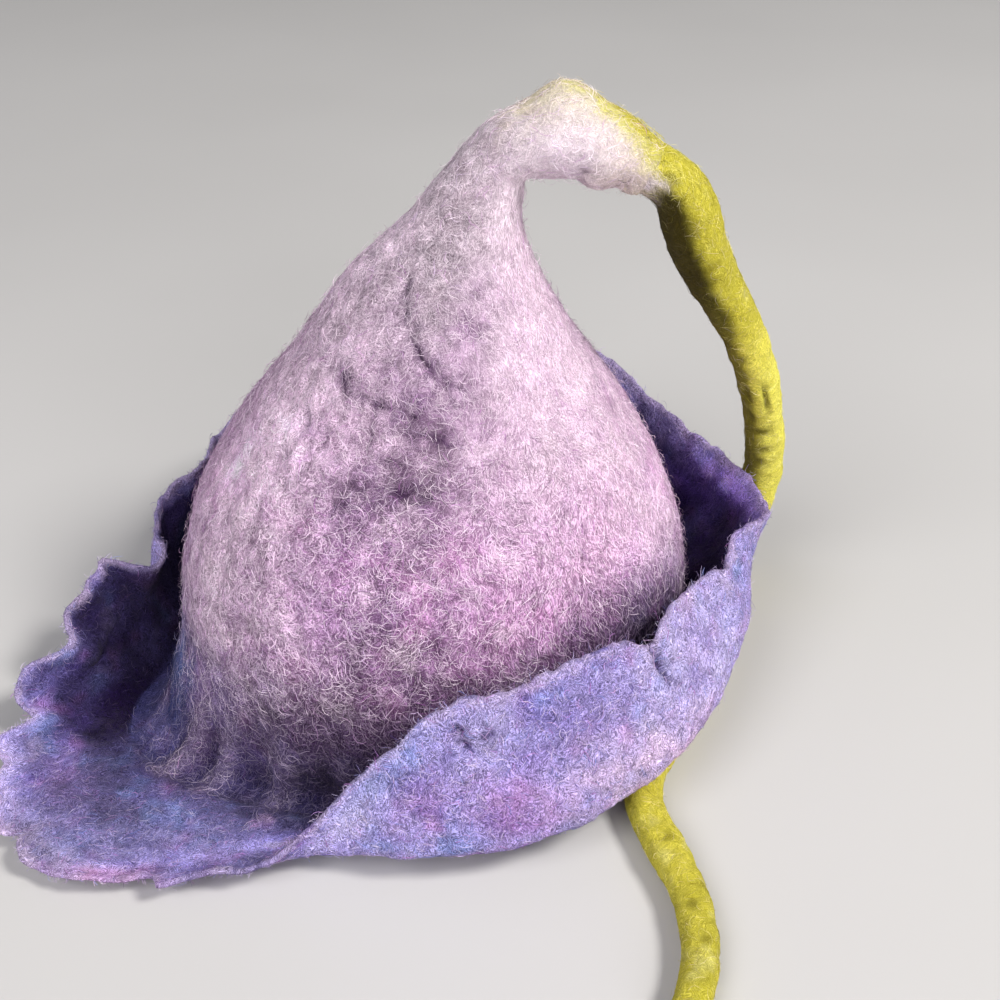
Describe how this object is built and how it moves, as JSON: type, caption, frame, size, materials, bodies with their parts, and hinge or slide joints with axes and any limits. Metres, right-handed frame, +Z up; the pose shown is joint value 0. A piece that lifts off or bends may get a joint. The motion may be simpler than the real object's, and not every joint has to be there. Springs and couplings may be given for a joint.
{
  "type": "felt hat",
  "caption": "Seamless felt hat like a drooping bell flower: bell crown with a bent hollow peak, turned-up scalloped brim and a long felted stem growing from the tip.",
  "frame": {"origin": "middle of the hat body's footprint, on the surface that it stands on", "axes": "+Z up out of the crown, +X towards the side that the peak bends to, -Y towards the wearer's front as seen in the picture"},
  "size_m": [0.3156, 0.3434, 0.2429],
  "materials": {
    "felt_lilac": "hand-felted wool, pale lilac-pink crown running into a blue-violet brim",
    "felt_green": "hand-felted wool, yellow-green"
  },
  "bodies": {
    "root": {"hat_body": "felt_lilac", "stem": "felt_green"}
  },
  "joints": []
}
